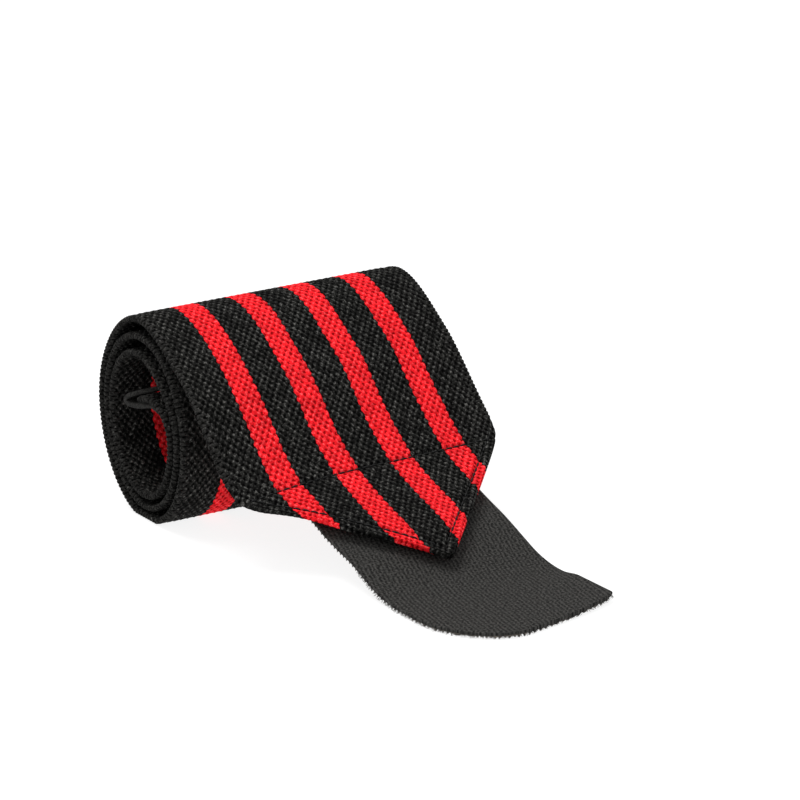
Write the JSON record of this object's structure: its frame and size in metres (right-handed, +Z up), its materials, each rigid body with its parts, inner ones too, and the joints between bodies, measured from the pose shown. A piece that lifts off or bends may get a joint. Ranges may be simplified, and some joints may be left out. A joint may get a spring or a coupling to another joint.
{
  "type": "elastic wrist wrap",
  "caption": "Knitted elastic wrist wrap, half unrolled, with striped cloth, a folded point, a hook tape tab to fasten it and a thumb loop at its inner end.",
  "frame": {"origin": "middle of the footprint, on the surface that the wrap lies on", "axes": "+X along the roll's axis from the near to the far edge of the band, -Y along the laid-out stretch towards the hook tape's free end, +Z up"},
  "size_m": [0.08, 0.144, 0.0547],
  "materials": {
    "knit": "matte knitted elastic with red stripes",
    "hook_tape": "dull woven backing with hooks beneath",
    "loop_tape": "satin woven tape"
  },
  "bodies": {
    "root": {"band": "knit", "hook_tab": "hook_tape", "thumb_loop": "loop_tape"}
  },
  "joints": []
}
